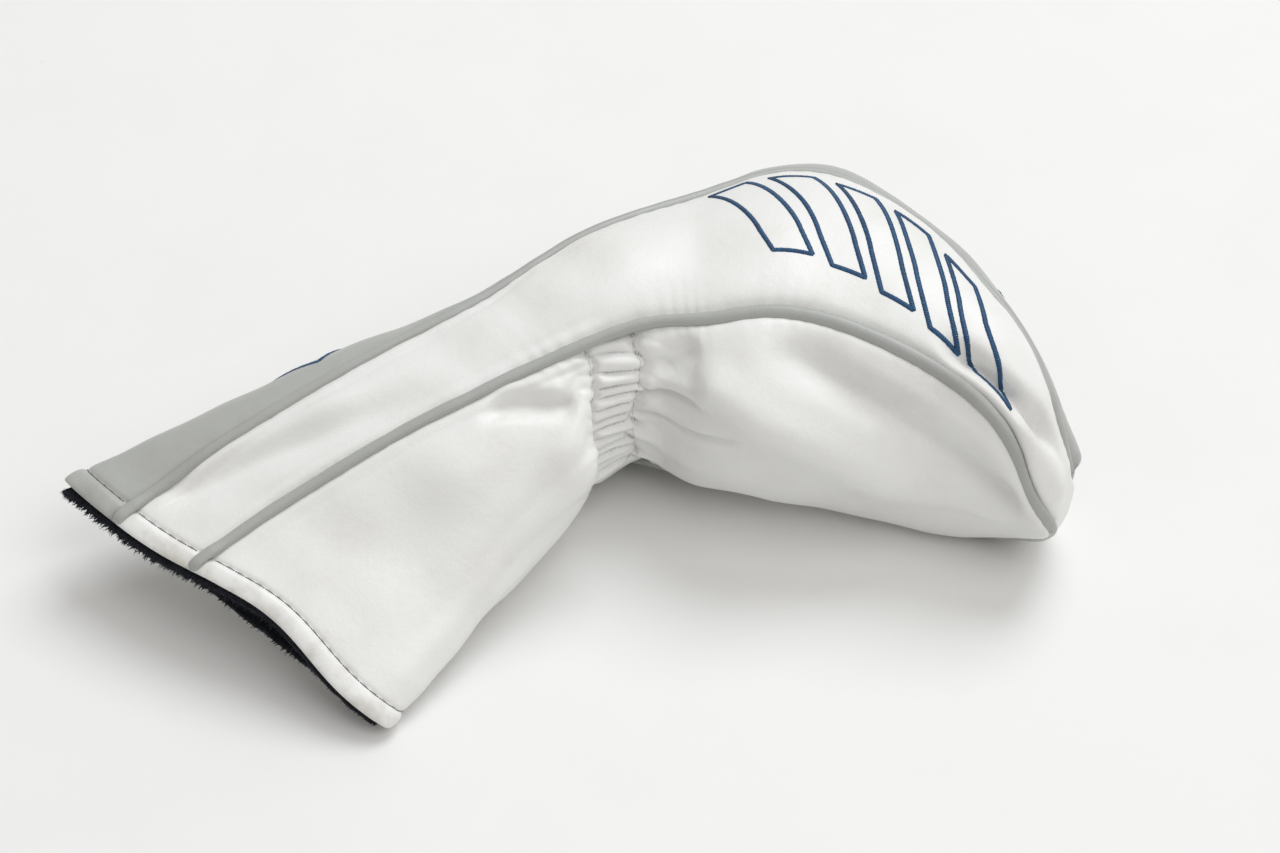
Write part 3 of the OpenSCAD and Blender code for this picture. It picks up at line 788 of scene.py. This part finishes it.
def pile_tufts():
    """Loose fibres of the lining where it shows at the mouth, leaning out of it."""
    angle = rng.uniform(0, 360, TUFTS)
    tucked = pile_tuck(angle)
    r = rng.uniform(TUFT_FROM + 0.008 * tucked, TUFT_TO, TUFTS)
    depth = rng.uniform(*TUFT_DEPTH, TUFTS)
    root = oval(r, angle, depth)
    out_of_mouth = unit(root - oval(r + 0.01, angle, depth))
    outward = unit(root - oval(r, angle, depth + 1.0))
    spread = np.clip((0.012 - r) / 0.012, 0, 1)[:, None]
    lean = unit(out_of_mouth + outward * (0.3 * spread - 0.3)
                + rng.normal(0, 0.2, (TUFTS, 3)))
    curl = rng.normal(0, 0.35, (TUFTS, 3)) + [0, 0, -0.2]
    length = rng.uniform(*TUFT_LENGTH, TUFTS) * (1.15 - 0.3 * tucked)
    radius = rng.uniform(*TUFT_RADIUS, TUFTS)
    side = unit(np.cross(lean, rng.normal(size=(TUFTS, 3))))
    other = np.cross(lean, side)
    share = np.linspace(0, 1, TUFT_STEPS)
    middle = (root[:, None] + lean[:, None] * (length[:, None] * share)[..., None]
              + curl[:, None] * (share ** 2)[None, :, None])
    thin = radius[:, None] * (1 - 0.8 * share ** 1.5)
    turn = np.arange(TUFT_SIDES)[:, None] * 2 * np.pi / TUFT_SIDES
    ring = side[:, None, None] * np.cos(turn) + other[:, None, None] * np.sin(turn)
    points = rest_on_table(middle[:, :, None] + ring * thin[:, :, None, None], TUFT_LEAST)
    return mesh_piece("pile_tufts", points.reshape(-1, 3), tuft_faces())


# ---- embroidery and stitching ----

SATIN_WIDTH = 1.6
SATIN_HEIGHT = 0.42
SATIN_PITCH = 0.36        # from one thread to the next
SATIN_FOOT = [[-0.6, -0.3], [0.6, -0.3]]    # the section's corners under the leather
SATIN_ARCH = 7            # points over the section's top
EDGE_POINTS = 40          # points along each side of an outline, to follow the leather


def satin_line(corners, surface):
    """One closed satin-stitched line. corners are in the coordinates surface() takes."""
    path = np.vstack([corners, corners[:1]])
    share = np.linspace(0, 1, EDGE_POINTS, endpoint=False)[:, None]
    dense = np.vstack([a + (b - a) * share for a, b in zip(path[:-1], path[1:])])
    places, _ = surface(dense)
    loop = np.vstack([places, places[:1]])
    run = lengths_along(loop)
    count = int(run[-1] / SATIN_PITCH / 2) * 2
    steps = np.linspace(0, run[-1], count, endpoint=False)
    whole = np.vstack([dense, dense[:1]])
    places, normals = surface(read_at(steps, run, whole))
    ridge = 1 + 0.22 * np.cos(np.arange(count) * np.pi) + rng.uniform(-0.06, 0.06, count)
    edge = 1 + rng.uniform(-0.07, 0.07, count)
    turn = np.linspace(0, np.pi, SATIN_ARCH)

    def section(i):
        arch = np.stack([np.cos(turn) * SATIN_WIDTH / 2 * edge[i],
                         np.sin(turn) ** 0.8 * SATIN_HEIGHT * ridge[i] - 0.05], axis=1)
        return np.vstack([arch, SATIN_FOOT])

    points, faces = sweep(places, normals, section, closed=True)
    return points, faces, np.repeat(steps, SATIN_ARCH + len(SATIN_FOOT))


def satin_piece(name, outlines, surface):
    """Outlines in satin stitch as one piece."""
    lines = [satin_line(np.array(corners), surface) for corners in outlines]
    along = np.concatenate([line[2] for line in lines])
    return mesh_piece(name, *joined([line[:2] for line in lines]), {"along_mm": along})


BARS = 5
BAR_FROM = 0.51
BAR_STEP = 0.057
BAR_WIDTH = 0.036
BAR_SLANT = 0.07          # how much further along its lower end is
BAR_TOP = 0.16            # where the first bar starts across the gusset, and how far it runs
BAR_RUN = 0.54
BAR_DROP = 0.03           # each bar sits this much lower than the one before


def bar_outlines():
    """Corners of the slanted bars as (r, share across the gusset)."""
    bar = np.array([(0, 0), (BAR_WIDTH, 0), (BAR_WIDTH + BAR_SLANT, BAR_RUN),
                    (BAR_SLANT, BAR_RUN)])
    return [bar + (BAR_FROM + k * BAR_STEP, BAR_TOP + k * BAR_DROP) for k in range(BARS)]


def diamond(r, half_r, half_angle):
    """Corners of a diamond on the crown panel as (r, angle)."""
    return [(r - half_r, 0), (r, half_angle), (r + half_r, 0), (r, -half_angle)]


# ---- materials ----

def new_material(name, roughness, sheen=0.0):
    """A material with its node tree and the inputs of its surface."""
    material = bpy.data.materials.new(name)
    material.use_nodes = True
    tree = material.node_tree
    surface = tree.nodes["Principled BSDF"].inputs
    surface["Roughness"].default_value = roughness
    surface["Sheen Weight"].default_value = sheen
    return material, tree, surface


def attribute(tree, name, output="Fac"):
    """A number stored at each point of the mesh, or a vector."""
    node = tree.nodes.new("ShaderNodeAttribute")
    node.attribute_name = name
    return node.outputs[output]


def rest_coordinates(tree):
    """Texture coordinates in millimetres that stay with the piece as it bends."""
    return attribute(tree, "rest_mm", "Vector")


def noise(tree, vector, size, detail=3.0, rough=0.55):
    """Noise with features about this many millimetres across."""
    node = tree.nodes.new("ShaderNodeTexNoise")
    node.inputs["Scale"].default_value = 1 / size
    node.inputs["Detail"].default_value = detail
    node.inputs["Roughness"].default_value = rough
    tree.links.new(vector, node.inputs["Vector"])
    return node.outputs["Fac"]


def cells(tree, vector, size):
    """Distance to the edges of a pattern of cells about this many millimetres across."""
    node = tree.nodes.new("ShaderNodeTexVoronoi")
    node.feature = "DISTANCE_TO_EDGE"
    node.inputs["Scale"].default_value = 1 / size
    tree.links.new(vector, node.inputs["Vector"])
    return node.outputs["Distance"]


def ramp(tree, value, stops):
    """A colour ramp. stops are (place, (r, g, b)) or (place, grey)."""
    node = tree.nodes.new("ShaderNodeValToRGB")
    while len(node.color_ramp.elements) < len(stops):
        node.color_ramp.elements.new(0.5)
    for element, (place, colour) in zip(node.color_ramp.elements, stops):
        element.position = place
        rgb = colour if isinstance(colour, tuple) else (colour,) * 3
        element.color = (*rgb, 1)
    tree.links.new(value, node.inputs["Fac"])
    return node.outputs["Color"]


def feed(tree, node, values):
    """Gives a node's inputs their values, each a link, a colour or a number."""
    for socket, value in zip(node.inputs, values):
        if isinstance(value, bpy.types.NodeSocket):
            tree.links.new(value, socket)
        elif isinstance(value, tuple):
            socket.default_value = (*value, 1)
        else:
            socket.default_value = value
    return node.outputs[0]


def mix(tree, share, a, b):
    return feed(tree, tree.nodes.new("ShaderNodeMixRGB"), (share, a, b))


def maths(tree, operation, a, b=0.0):
    node = tree.nodes.new("ShaderNodeMath")
    node.operation = operation
    return feed(tree, node, (a, b))


def bump(tree, height, depth_mm, onto=None):
    """A bump of this depth in millimetres; several may be chained."""
    node = tree.nodes.new("ShaderNodeBump")
    node.inputs["Strength"].default_value = 1.0
    node.inputs["Distance"].default_value = depth_mm * MM
    tree.links.new(height, node.inputs["Height"])
    if onto is not None:
        tree.links.new(onto, node.inputs["Normal"])
    return node.outputs["Normal"]


def wire(tree, surface, colour, normal):
    tree.links.new(colour, surface["Base Color"])
    tree.links.new(normal, surface["Normal"])


def leather(name, colour, soiled, roughness, grain=0.05):
    """Coated leather: fine grain, faint stretch wrinkles, uneven sheen, dirt near the mouth."""
    material, tree, surface = new_material(name, roughness)
    rest = rest_coordinates(tree)
    patches = ramp(tree, noise(tree, rest, 34, 4), [(0.48, 0.0), (0.72, 1.0)])
    specks = ramp(tree, noise(tree, rest, 2.2, 2), [(0.3, 0.55), (0.7, 1.0)])
    dirt = maths(tree, "MULTIPLY", patches, specks)
    mouth_share = maths(tree, "DIVIDE", attribute(tree, "along_mm"), 14)
    near_mouth = ramp(tree, mouth_share, [(0.4, 1.0), (1, 0.0)])
    blotches = ramp(tree, noise(tree, rest, 7), [(0.42, 0.0), (0.7, 0.8)])
    hem_dirt = maths(tree, "MULTIPLY", near_mouth, blotches)
    amount = maths(tree, "MAXIMUM", maths(tree, "MULTIPLY", dirt, 0.35), hem_dirt)
    shine = [(0.3, roughness - 0.05), (0.7, roughness + 0.07)]
    tree.links.new(ramp(tree, noise(tree, rest, 18, 3), shine), surface["Roughness"])
    surface["Coat Weight"].default_value = 0.06
    surface["Coat Roughness"].default_value = 0.32
    fine = bump(tree, cells(tree, rest, 0.75), grain)
    wrinkles = bump(tree, noise(tree, rest, 3.4, 4, 0.6), 0.16, fine)
    wire(tree, surface, mix(tree, amount, colour, soiled), wrinkles)
    return material


def thread(name, colour, dark):
    """Spun sewing thread."""
    material, tree, surface = new_material(name, 0.55, sheen=0.2)
    strand = noise(tree, rest_coordinates(tree), 0.5, 2)
    tone = ramp(tree, strand, [(0.35, 0.0), (0.65, 1.0)])
    wire(tree, surface, mix(tree, tone, dark, colour), bump(tree, strand, 0.072))
    return material


def satin_thread(name, colour, dark):
    """Closely laid shiny thread, running across the line it fills."""
    material, tree, surface = new_material(name, 0.4, sheen=0.08)
    turns = maths(tree, "MULTIPLY", attribute(tree, "along_mm"), 2 * math.pi / (SATIN_PITCH * 2))
    wave = maths(tree, "SINE", turns)
    blotch = noise(tree, rest_coordinates(tree), 1.2, 2)
    # Painted shade: the colour darkens on the same wave as the bump, in the grooves between
    # threads; the blotch noise is the thread's own uneven tone.
    tone = maths(tree, "ADD", maths(tree, "MULTIPLY", wave, 0.2), blotch)
    tone = ramp(tree, tone, [(0.25, 0.0), (0.65, 1.0)])
    wire(tree, surface, mix(tree, tone, dark, colour), bump(tree, wave, 0.08))
    surface["Anisotropic"].default_value = 0.4
    return material


def fleece(name, colour, light):
    """Dense short pile."""
    material, tree, surface = new_material(name, 0.95, sheen=0.08)
    rest = rest_coordinates(tree)
    tone = ramp(tree, noise(tree, rest, 1.6, 4, 0.7), [(0.4, 0.0), (0.75, 1.0)])
    relief = bump(tree, noise(tree, rest, 0.8, 3, 0.7), 0.6)
    wire(tree, surface, mix(tree, tone, colour, light), relief)
    return material


def webbing(name, colour, dark):
    """Ribbed elastic tape."""
    material, tree, surface = new_material(name, 0.8)
    ribs = noise(tree, rest_coordinates(tree), 0.7, 1)
    wire(tree, surface, mix(tree, ribs, dark, colour), bump(tree, ribs, 0.2))
    return material


def table_top(name):
    """Matt white board with a few faint specks and smudges. Its noise is sized in metres."""
    material, tree, surface = new_material(name, 0.85)
    place = tree.nodes.new("ShaderNodeTexCoord").outputs["Object"]
    smudge = ramp(tree, noise(tree, place, 0.06, 5, 0.6), [(0.45, 0.0), (0.8, 0.25)])
    dots = tree.nodes.new("ShaderNodeTexVoronoi")
    dots.inputs["Scale"].default_value = 26
    tree.links.new(place, dots.inputs["Vector"])
    speck = ramp(tree, dots.outputs["Distance"], [(0.015, 0.5), (0.03, 0.0)])
    amount = maths(tree, "MAXIMUM", smudge, speck)
    colour = mix(tree, amount, (0.86, 0.86, 0.855), (0.78, 0.775, 0.765))
    tree.links.new(colour, surface["Base Color"])
    return material


# ---- build ----


def finish_piece(piece, material, replaced=(), body=None):
    """Material, the CAD nodes it stands for, and the body it moves with.

    A piece with no body of its own is left unattached, its transform baked into its mesh."""
    piece.data.materials.append(material)
    if replaced:
        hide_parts(*replaced)
    if body:
        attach(piece, body)
    else:
        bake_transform(piece)


white = leather("white_coated_leather", (0.84, 0.84, 0.83), (0.62, 0.59, 0.54), 0.43)
grey = leather("grey_coated_leather", (0.45, 0.46, 0.44), (0.35, 0.35, 0.34), 0.4)
cord_grey = leather("piping_leather", (0.42, 0.43, 0.415), (0.27, 0.27, 0.265), 0.42, grain=0.04)
navy_pile = fleece("navy_fleece", (0.0035, 0.005, 0.011), (0.011, 0.015, 0.028))
pale_thread = thread("pale_thread", (0.8, 0.8, 0.78), (0.6, 0.6, 0.58))
grey_thread = thread("grey_thread", (0.30, 0.30, 0.305), (0.13, 0.13, 0.14))
# Painted shade: near-black cones stand for the shade inside the hem's needle holes.
painted_hole_shade = thread("needle_hole_shade", (0.05, 0.05, 0.055), (0.02, 0.02, 0.022))
blue_satin = satin_thread("blue_satin_thread", (0.005, 0.085, 0.215), (0.002, 0.03, 0.09))
elastic_web = webbing("elastic_web", (0.6, 0.6, 0.58), (0.4, 0.4, 0.39))

grid = leather_grid()
grid = swell_as_cloth(grid)
grid_out = grid_normals(grid)

crown_cols = np.arange(CROWN_UNDER_SEAM, COLS + CROWN_TOP_SEAM + 1) % COLS
sole_cols = np.arange(SOLE_TOP_SEAM, SOLE_UNDER_SEAM + 1)

finish_piece(panel("crown_panel", grid, crown_cols), grey,
             ("crown_panel_hood", "crown_panel_sleeve", "crown_foam", "hem_crown"))
finish_piece(gusset_piece("gusset", grid), white,
             ("gusset_hood", "gusset_sleeve_top", "gusset_sleeve_under", "gusset_foam",
              "hem_gusset_top", "hem_gusset_under"))
finish_piece(panel("sole_panel", grid, sole_cols), white,
             ("sole_panel_hood", "belly_panel_sleeve", "sole_foam", "hem_belly"))
for name, top, under, fuller, tucked in (
        ("crown_piping", CROWN_TOP_SEAM, CROWN_UNDER_SEAM, 0.05, 0.4),
        ("sole_piping", SOLE_TOP_SEAM, SOLE_UNDER_SEAM, 0.22, 0.0)):
    finish_piece(seam_piping(name, grid, grid_out, top, under, fuller, tucked), cord_grey,
                 (name + "_hood", name + "_sleeve_top", name + "_sleeve_under"))
finish_piece(lining_piece(), navy_pile, ("hood_lining", "sleeve_lining"))
finish_piece(pile_tufts(), navy_pile, body="sleeve")
finish_piece(elastic_piece(), elastic_web, ("neck_elastic",))


def on_leather(r, column):
    """Places on the finished leather, and the outward direction there."""
    return grid_sample(grid, r, column), unit(grid_sample(grid_out, r, column))


def column_surface(uv):
    """Leather at rows of (r, grid column)."""
    return on_leather(uv[:, 0], uv[:, 1])


def gusset_surface(uv):
    """Leather at rows of (r, share across the gusset)."""
    return on_leather(uv[:, 0], CROWN_TOP_SEAM + uv[:, 1] * GUSSET_COLS)


def angle_surface(uv):
    """Leather at rows of (r, angle)."""
    return on_leather(uv[:, 0], angle_column(uv[:, 0], uv[:, 1]))


for name, outlines, surface, stands_for, body in (
        ("stitched_bars", bar_outlines(), gusset_surface, "emblem_bars", "hood"),
        ("stitched_diamond_hood", [diamond(0.79, 0.05, 34)], angle_surface,
         "emblem_crown_hood", "hood"),
        ("stitched_diamond_sleeve", [diamond(0.19, 0.035, 26)], angle_surface,
         "emblem_crown_sleeve", "sleeve")):
    finish_piece(satin_piece(name, outlines, surface), blue_satin,
                 (stands_for,), body)

STITCH_SHARE = 0.76       # how much of a stitch's pitch its thread covers
HEM_PITCH = 3.5
HEM_THREAD = 0.18
HEM_CLEAR = 3.2           # the hem's stitching stops this far from each piping
HEM_POINTS = 60
GATHER_PITCH = 3.4
GATHER_THREAD = 0.24
GATHER_POINTS = 80
GATHER_GUESS = 0.36       # r near the middle of the neck
GATHER_CLEAR = 3          # degrees left free beside each piping
HOLE_RADIUS = 0.4
HOLE_SIDES = 7
HOLE_RIM = 0.02           # heights of a needle hole's rim, its plug and its foot
HOLE_PLUG = 0.12
HOLE_FOOT = -0.4


def stitched_row(uv, surface, pitch):
    """Starts, ends and outward directions of the stitches along a row of places."""
    places, _ = surface(uv)
    steps = even_steps(places, pitch)
    count = np.arange(len(uv))
    ends_at = steps[:-1] + (steps[1:] - steps[:-1]) * STITCH_SHARE
    starts, outs = surface(read_at(steps[:-1], count, uv))
    ends, _ = surface(read_at(ends_at, count, uv))
    return starts, ends, outs


def stitch_piece(name, rows, surface, pitch, radius):
    """All the stitches along some rows as one piece, and where the needle went in."""
    starts, ends, outs = (np.vstack(part) for part in
                          zip(*(stitched_row(uv, surface, pitch) for uv in rows)))
    points, faces = thread_run(starts, ends, outs, radius)
    return mesh_piece(name, points, faces), np.vstack([starts, ends]), np.vstack([outs, outs])


def hole_piece(name, places, outs):
    """Small dark cones where the needle went in, coloured near black as painted shade of the
    holes.
    """
    turn = np.arange(HOLE_SIDES)[:, None] * 2 * np.pi / HOLE_SIDES
    cone = []
    for k in range(HOLE_SIDES):
        m = (k + 1) % HOLE_SIDES
        cone += [(k, m, HOLE_SIDES), (m, k, HOLE_SIDES + 1)]
    holes = []
    for place, out in zip(places, outs):
        side = unit(np.cross(out, [0.3, 0.2, 1.0]))
        other = np.cross(out, side)
        rim = (side * np.cos(turn) + other * np.sin(turn)) * HOLE_RADIUS + out * HOLE_RIM
        holes.append((place + np.vstack([rim, out * HOLE_PLUG, out * HOLE_FOOT]), cone))
    return mesh_piece(name, *joined(holes))


def hem_rows():
    """The hem's stitching, between one piping and the next all round the mouth."""
    seams = [*SEAM_COLS[1:5], COLS + CROWN_HALF]
    rows = []
    for a, b in zip(seams[:-1], seams[1:]):
        r = np.full(HEM_POINTS, HEM_END)
        column = np.linspace(a, b, HEM_POINTS)
        run = lengths_along(grid_sample(grid, r, column))
        keep = np.linspace(HEM_CLEAR, run[-1] - HEM_CLEAR, HEM_POINTS)
        rows.append(np.stack([r, np.interp(keep, run, column)], axis=1))
    return rows


def gather_row(row_at):
    """A line of gather stitching across the sole panel, from piping to piping.

    The seams' angles depend on r and r on the angle, so both settle in a few rounds."""
    r = np.full(GATHER_POINTS, GATHER_GUESS)
    for _ in range(3):
        first = sole_seam(r) + GATHER_CLEAR
        angle = first + (360 - 2 * first) * np.linspace(0, 1, GATHER_POINTS)
        r = row_at(angle)
    return np.stack([r, angle], axis=1)


hem, needle_places, needle_outs = stitch_piece("hem_stitching", hem_rows(), column_surface,
                                               HEM_PITCH, HEM_THREAD)
finish_piece(hem, grey_thread, ("hem_stitches",), "sleeve")
finish_piece(hole_piece("hem_needle_holes", needle_places, needle_outs), painted_hole_shade,
             (), "sleeve")
for name, row_at, stands_for in (
        ("gather_stitching_sleeve_side", front_row, "gather_stitches_front"),
        ("gather_stitching_hood_side", back_row, "gather_stitches_back")):
    line, _, _ = stitch_piece(name, [gather_row(row_at)], angle_surface,
                              GATHER_PITCH, GATHER_THREAD)
    finish_piece(line, pale_thread, (stands_for,))


# ---- stage ----

FLOOR_HALF = 4000
CAMERA_TARGET = Vector((-0.038, 0.058, 0))
CAMERA_DISTANCE = 0.803
CAMERA_WAY = Vector((-0.5, -0.5, 0.7071))      # from the target, 45 degrees up


def floor_piece():
    corners = np.array([(-1, -1, 0), (1, -1, 0), (1, 1, 0), (-1, 1, 0)])
    floor = mesh_piece("floor", corners * FLOOR_HALF, [(0, 1, 2, 3)])
    floor.data.materials.append(table_top("table_top"))


def aim(thing, place, target):
    """Puts a light or a camera here, looking at the target."""
    thing.location = place
    thing.rotation_euler = (Vector(target) - Vector(place)).to_track_quat("-Z", "Y").to_euler()
    bpy.context.scene.collection.objects.link(thing)


def area_light(name, place, size, power, tint=(1, 1, 1)):
    """A round softbox aimed at the origin."""
    data = bpy.data.lights.new(name, "AREA")
    data.shape = "DISK"
    data.size = size
    data.energy = power
    data.color = tint
    aim(bpy.data.objects.new(name, data), place, (0, 0, 0))


def camera():
    data = bpy.data.cameras.new("camera")
    data.lens = 70
    data.sensor_width = 36
    made = bpy.data.objects.new("camera", data)
    aim(made, CAMERA_TARGET + CAMERA_DISTANCE * CAMERA_WAY, CAMERA_TARGET)
    bpy.context.scene.camera = made


def world_light(strength):
    world = bpy.data.worlds.new("studio")
    world.use_nodes = True
    background = world.node_tree.nodes["Background"]
    background.inputs["Color"].default_value = (1.0, 0.98, 0.94, 1)
    background.inputs["Strength"].default_value = strength
    bpy.context.scene.world = world


floor_piece()
area_light("key_softbox", (1.5, 0.4, 2.9), 2.0, 56, (0.955, 0.98, 1.0))
area_light("front_softbox", (0.1, -1.7, 2.7), 2.2, 27)
world_light(0.445)
camera()
bpy.context.scene.view_settings.view_transform = "Standard"
